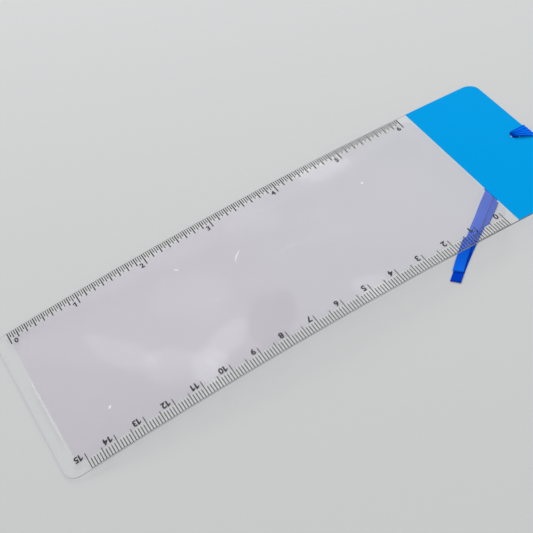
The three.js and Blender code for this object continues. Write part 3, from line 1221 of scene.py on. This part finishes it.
def buildTicks(scale, name, node):
    edge = scale["side"] * (card["halfWidth"] - scale["inset"])
    foot = edge - scale["side"] * scale["baseLine"]
    bm = bmesh.new()
    if scale["baseLine"] > 0:
        half = scale["ticks"][0][2] / 2
        last = scale["zeroX"] - scale["count"] * scale["spacing"]
        addBar(bm, last - half, scale["zeroX"] + half, edge, foot, scale["basePieces"])
    for i in range(scale["count"] * scale["parts"] + 1):
        length, width = [tick[1:] for tick in scale["ticks"] if i % tick[0] == 0][-1]
        x = scale["zeroX"] + scale["ahead"] * i * scale["spacing"] / scale["parts"]
        low, high = sorted((foot, edge - scale["side"] * length))
        addBar(bm, x - width / 2, x + width / 2, low, high)
    addSharpPiece(bm, name, inkFinish, node)


def buildNumbers(scale, name, node):
    bm = bmesh.new()
    y = scale["side"] * (card["halfWidth"] - scale["numberNear"] - scale["numberHeight"] / 2)
    for i in range(scale["count"] + 1):
        addNumber(bm, str(i), numberMiddle(scale, i), y, scale["numberHeight"], scale["ahead"] < 0)
    addSharpPiece(bm, name, inkFinish, node)


inkFinish = blackInk()
buildTicks(centimetres, "centimetreTicks", "centimetre_ruler")
buildNumbers(centimetres, "centimetreNumbers", "centimetre_ruler")
buildTicks(inches, "inchTicks", "inch_ruler")
buildNumbers(inches, "inchNumbers", "inch_ruler")
print("rulers built")

# Floor and light

floorFinish = {
    "colour": (0.632, 0.632, 0.633),
    "mottle": (300, 4),
    "shades": (0.99, 1.01),
    "roughness": 0.75,
    "specular": 0.1,
}
room = {
    "floorSize": 6,
    "floorPieces": 4,
    "skyLight": 0.65,  # what lights the scene from all around
    "skySeen": 0.9,  # what gloss and clear plastic show of it
    "windowColour": (0.97, 0.99, 1),
    "wallPlace": (0.207, 0.842, 1.085),  # the dark strip of wall between two windows, seen in the lens alone
    "wallSize": (0.125, 0.085),
    "wallTurnDegrees": -20,
    "wallColour": (0.02, 0.02, 0.02, 1),
    "wallSteps": 32,
}
# The windows behind the object: name, place, size, glow and turn in degrees.
# The low one lights it, the others only show as patches of light in the lens.
windows = [
    ("lowWindow", (0.6, 1.3, 0.6), (0.7, 0.7), 17.2, 0),
    ("arcPane", (-0.088, 0.905, 1.069), (0.14, 0.035), 0.9, -47),
    ("bendPane", (-0.006, 0.854, 1.099), (0.14, 0.035), 1, -28),
    ("hookPane", (0.096, 0.85, 1.095), (0.13, 0.035), 1.3, 22),
    ("corePane", (0.045, 0.838, 1.106), (0.085, 0.035), 1.5, 0),
    ("cloudPane", (0.09, 0.92, 1.055), (0.17, 0.07), 0.35, -10),
    ("topPane", (0.285, 0.954, 1.007), (0.12, 0.05), 0.35, 0),
    ("longPane", (0.36, 0.92, 1.01), (0.2, 0.03), 0.2, 0),
    ("sidePane", (0.465, 0.955, 0.956), (0.12, 0.04), 1.4, 8),
    ("rightPane", (0.55, 0.86, 0.98), (0.36, 0.16), 0.15, 0),
    ("smallPane", (0.414, 0.792, 1.066), (0.07, 0.04), 1.1, 0),
]


def buildFloor():
    bm = bmesh.new()
    pieces = room["floorPieces"]
    bmesh.ops.create_grid(bm, x_segments=pieces, y_segments=pieces, size=room["floorSize"] / 2)
    floor = bpy.data.objects.new("floor", meshFrom(bm, "floor"))
    bpy.context.scene.collection.objects.link(floor)
    floor.data.materials.append(mottledFinish("floorPaper", floorFinish)[0])


# Turns the given axis of a window or a wall towards the middle of the part
def facingPart(place, axis, turnDegrees):
    return (-Vector(place)).to_track_quat(axis, "Y") @ Quaternion(upward, math.radians(turnDegrees))


def addWindows():
    for name, place, (width, height), glow, turnDegrees in windows:
        data = bpy.data.lights.new(name, "AREA")
        data.shape = "ELLIPSE"
        data.size = width
        data.size_y = height
        data.color = room["windowColour"]
        data.energy = glow * math.pi * (math.pi / 4 * width * height)
        lamp = bpy.data.objects.new(name, data)
        lamp.location = place
        lamp.rotation_euler = facingPart(place, "-Z", turnDegrees).to_euler()
        lamp.visible_camera = False
        lamp.visible_glossy = name != "lowWindow"
        lamp.visible_transmission = lamp.visible_glossy
        bpy.context.scene.collection.objects.link(lamp)


def addWall():
    bm = bmesh.new()
    bmesh.ops.create_circle(bm, cap_ends=True, segments=room["wallSteps"], radius=0.5)
    width, height = room["wallSize"]
    place = Vector(room["wallPlace"])
    facing = facingPart(place, "Z", room["wallTurnDegrees"])
    for corner in bm.verts:
        corner.co = place + facing @ Vector((corner.co.x * width, corner.co.y * height, 0))
    wall = bpy.data.objects.new("wall", meshFrom(bm, "wall"))
    bpy.context.scene.collection.objects.link(wall)
    material, _, shader = newMaterial("darkWall")
    shader.inputs["Base Color"].default_value = room["wallColour"]
    shader.inputs["Roughness"].default_value = 1
    wall.data.materials.append(material)
    wall.visible_camera = wall.visible_diffuse = wall.visible_transmission = wall.visible_shadow = False


def lightWorld():
    world = bpy.data.worlds.new("studio")
    world.use_nodes = True
    tree = world.node_tree
    background = tree.nodes["Background"]
    path = addNode(tree, "ShaderNodeLightPath").outputs
    seen = addMath(tree, "MAXIMUM", path["Is Camera Ray"], path["Is Glossy Ray"])
    seen = addMath(tree, "MAXIMUM", seen, path["Is Transmission Ray"])
    background.inputs["Color"].default_value = (1, 1, 1, 1)
    tree.links.new(spread(tree, seen, room["skyLight"], room["skySeen"]), background.inputs["Strength"])
    bpy.context.scene.world = world


buildFloor()
addWindows()
addWall()
lightWorld()
bpy.context.scene.view_settings.view_transform = "Standard"
print("studio lit")
